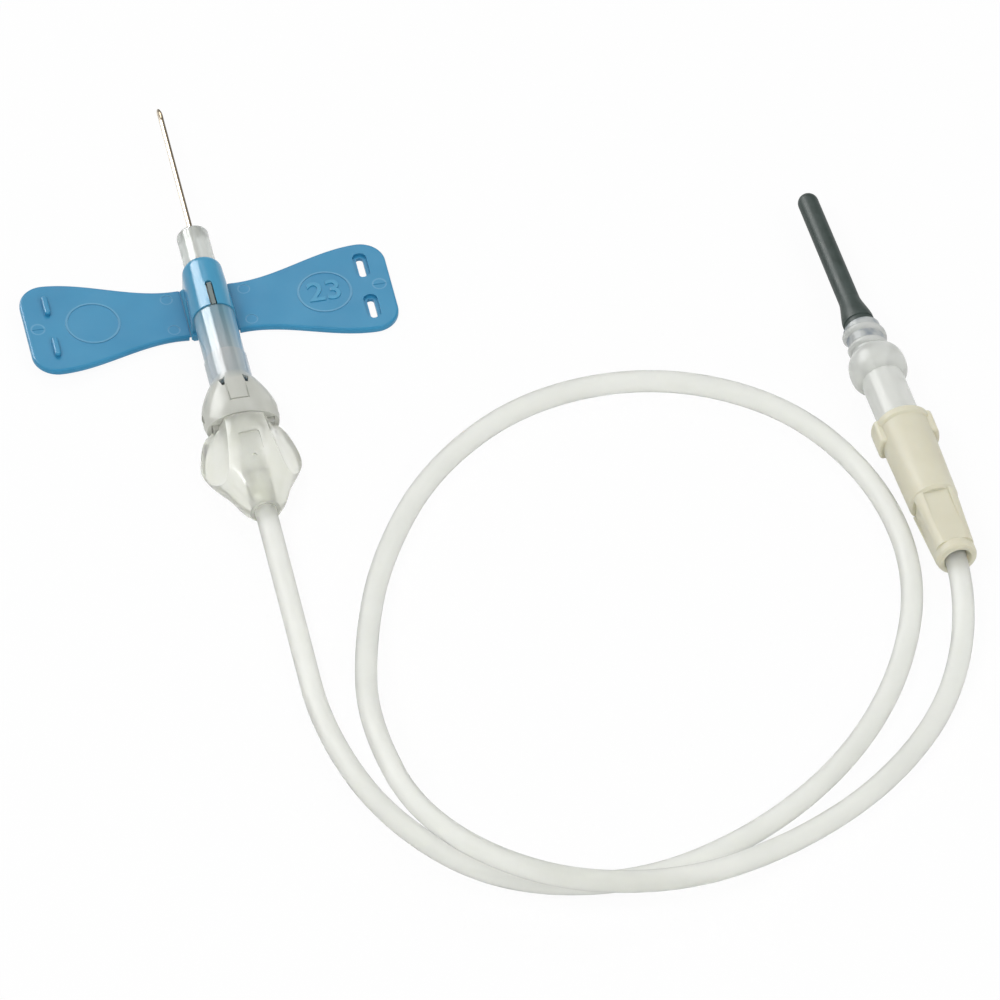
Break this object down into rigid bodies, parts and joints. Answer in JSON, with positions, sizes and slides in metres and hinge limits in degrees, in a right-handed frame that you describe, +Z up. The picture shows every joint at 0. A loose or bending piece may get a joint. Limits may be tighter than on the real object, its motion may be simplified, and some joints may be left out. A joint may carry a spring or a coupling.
{
  "type": "winged blood collection needle",
  "caption": "Winged needle with a sliding clear guard and folding wings, and a looped tube that runs to a luer fitting with a sleeved back needle.",
  "frame": {"origin": "middle of the needle assembly's box without the tubing and what is on it, at the height of the surface it lies on", "axes": "+Y along the needle towards its tip, +X towards the right-hand wing, +Z up, away from the flat undersides"},
  "size_m": [0.1035, 0.1359, 0.0083],
  "materials": {
    "needle_steel": "polished",
    "adhesive": "cured clear",
    "clear_plastic": "clear",
    "frosted_plastic": "frosted",
    "wing_blue": "satin",
    "tube_vinyl": "milky soft vinyl",
    "luer_cream": "satin",
    "sleeve_rubber": "matt"
  },
  "bodies": {
    "needle": {"cannula": "needle_steel", "cannula_adhesive": "adhesive", "needle_hub": "clear_plastic", "grip": "frosted_plastic", "tubing": "tube_vinyl", "female_luer": "luer_cream"},
    "guard": {"guard_tube": "clear_plastic", "wing_collar": "wing_blue", "lock_ring": "clear_plastic"},
    "left_wing": {"wing_left": "wing_blue"},
    "right_wing": {"wing_right": "wing_blue"},
    "luer_end": {"luer_adapter": "clear_plastic", "back_cannula": "needle_steel", "back_adhesive": "adhesive", "rubber_sleeve": "sleeve_rubber"}
  },
  "joints": [
    {"name": "guard_slide", "type": "slide", "parent": "needle", "child": "guard", "axis": [0, 1, 0], "range_m": [0, 0.028]},
    {"name": "left_wing_fold", "type": "hinge", "parent": "guard", "child": "left_wing", "pos_m": [-0.00302, 0.00158, 0.0007], "axis": [0, 1, 0], "range_deg": [-3.5, 86.5], "stiffness_Nm_per_rad": 0.0008},
    {"name": "right_wing_fold", "type": "hinge", "parent": "guard", "child": "right_wing", "pos_m": [0.00302, 0.00158, 0.0007], "axis": [0, -1, 0], "range_deg": [0, 90], "stiffness_Nm_per_rad": 0.0008},
    {"name": "luer_pull", "type": "slide", "parent": "needle", "child": "luer_end", "axis": [-0.0812, 0.9967, 0], "range_m": [0, 0.009]}
  ]
}
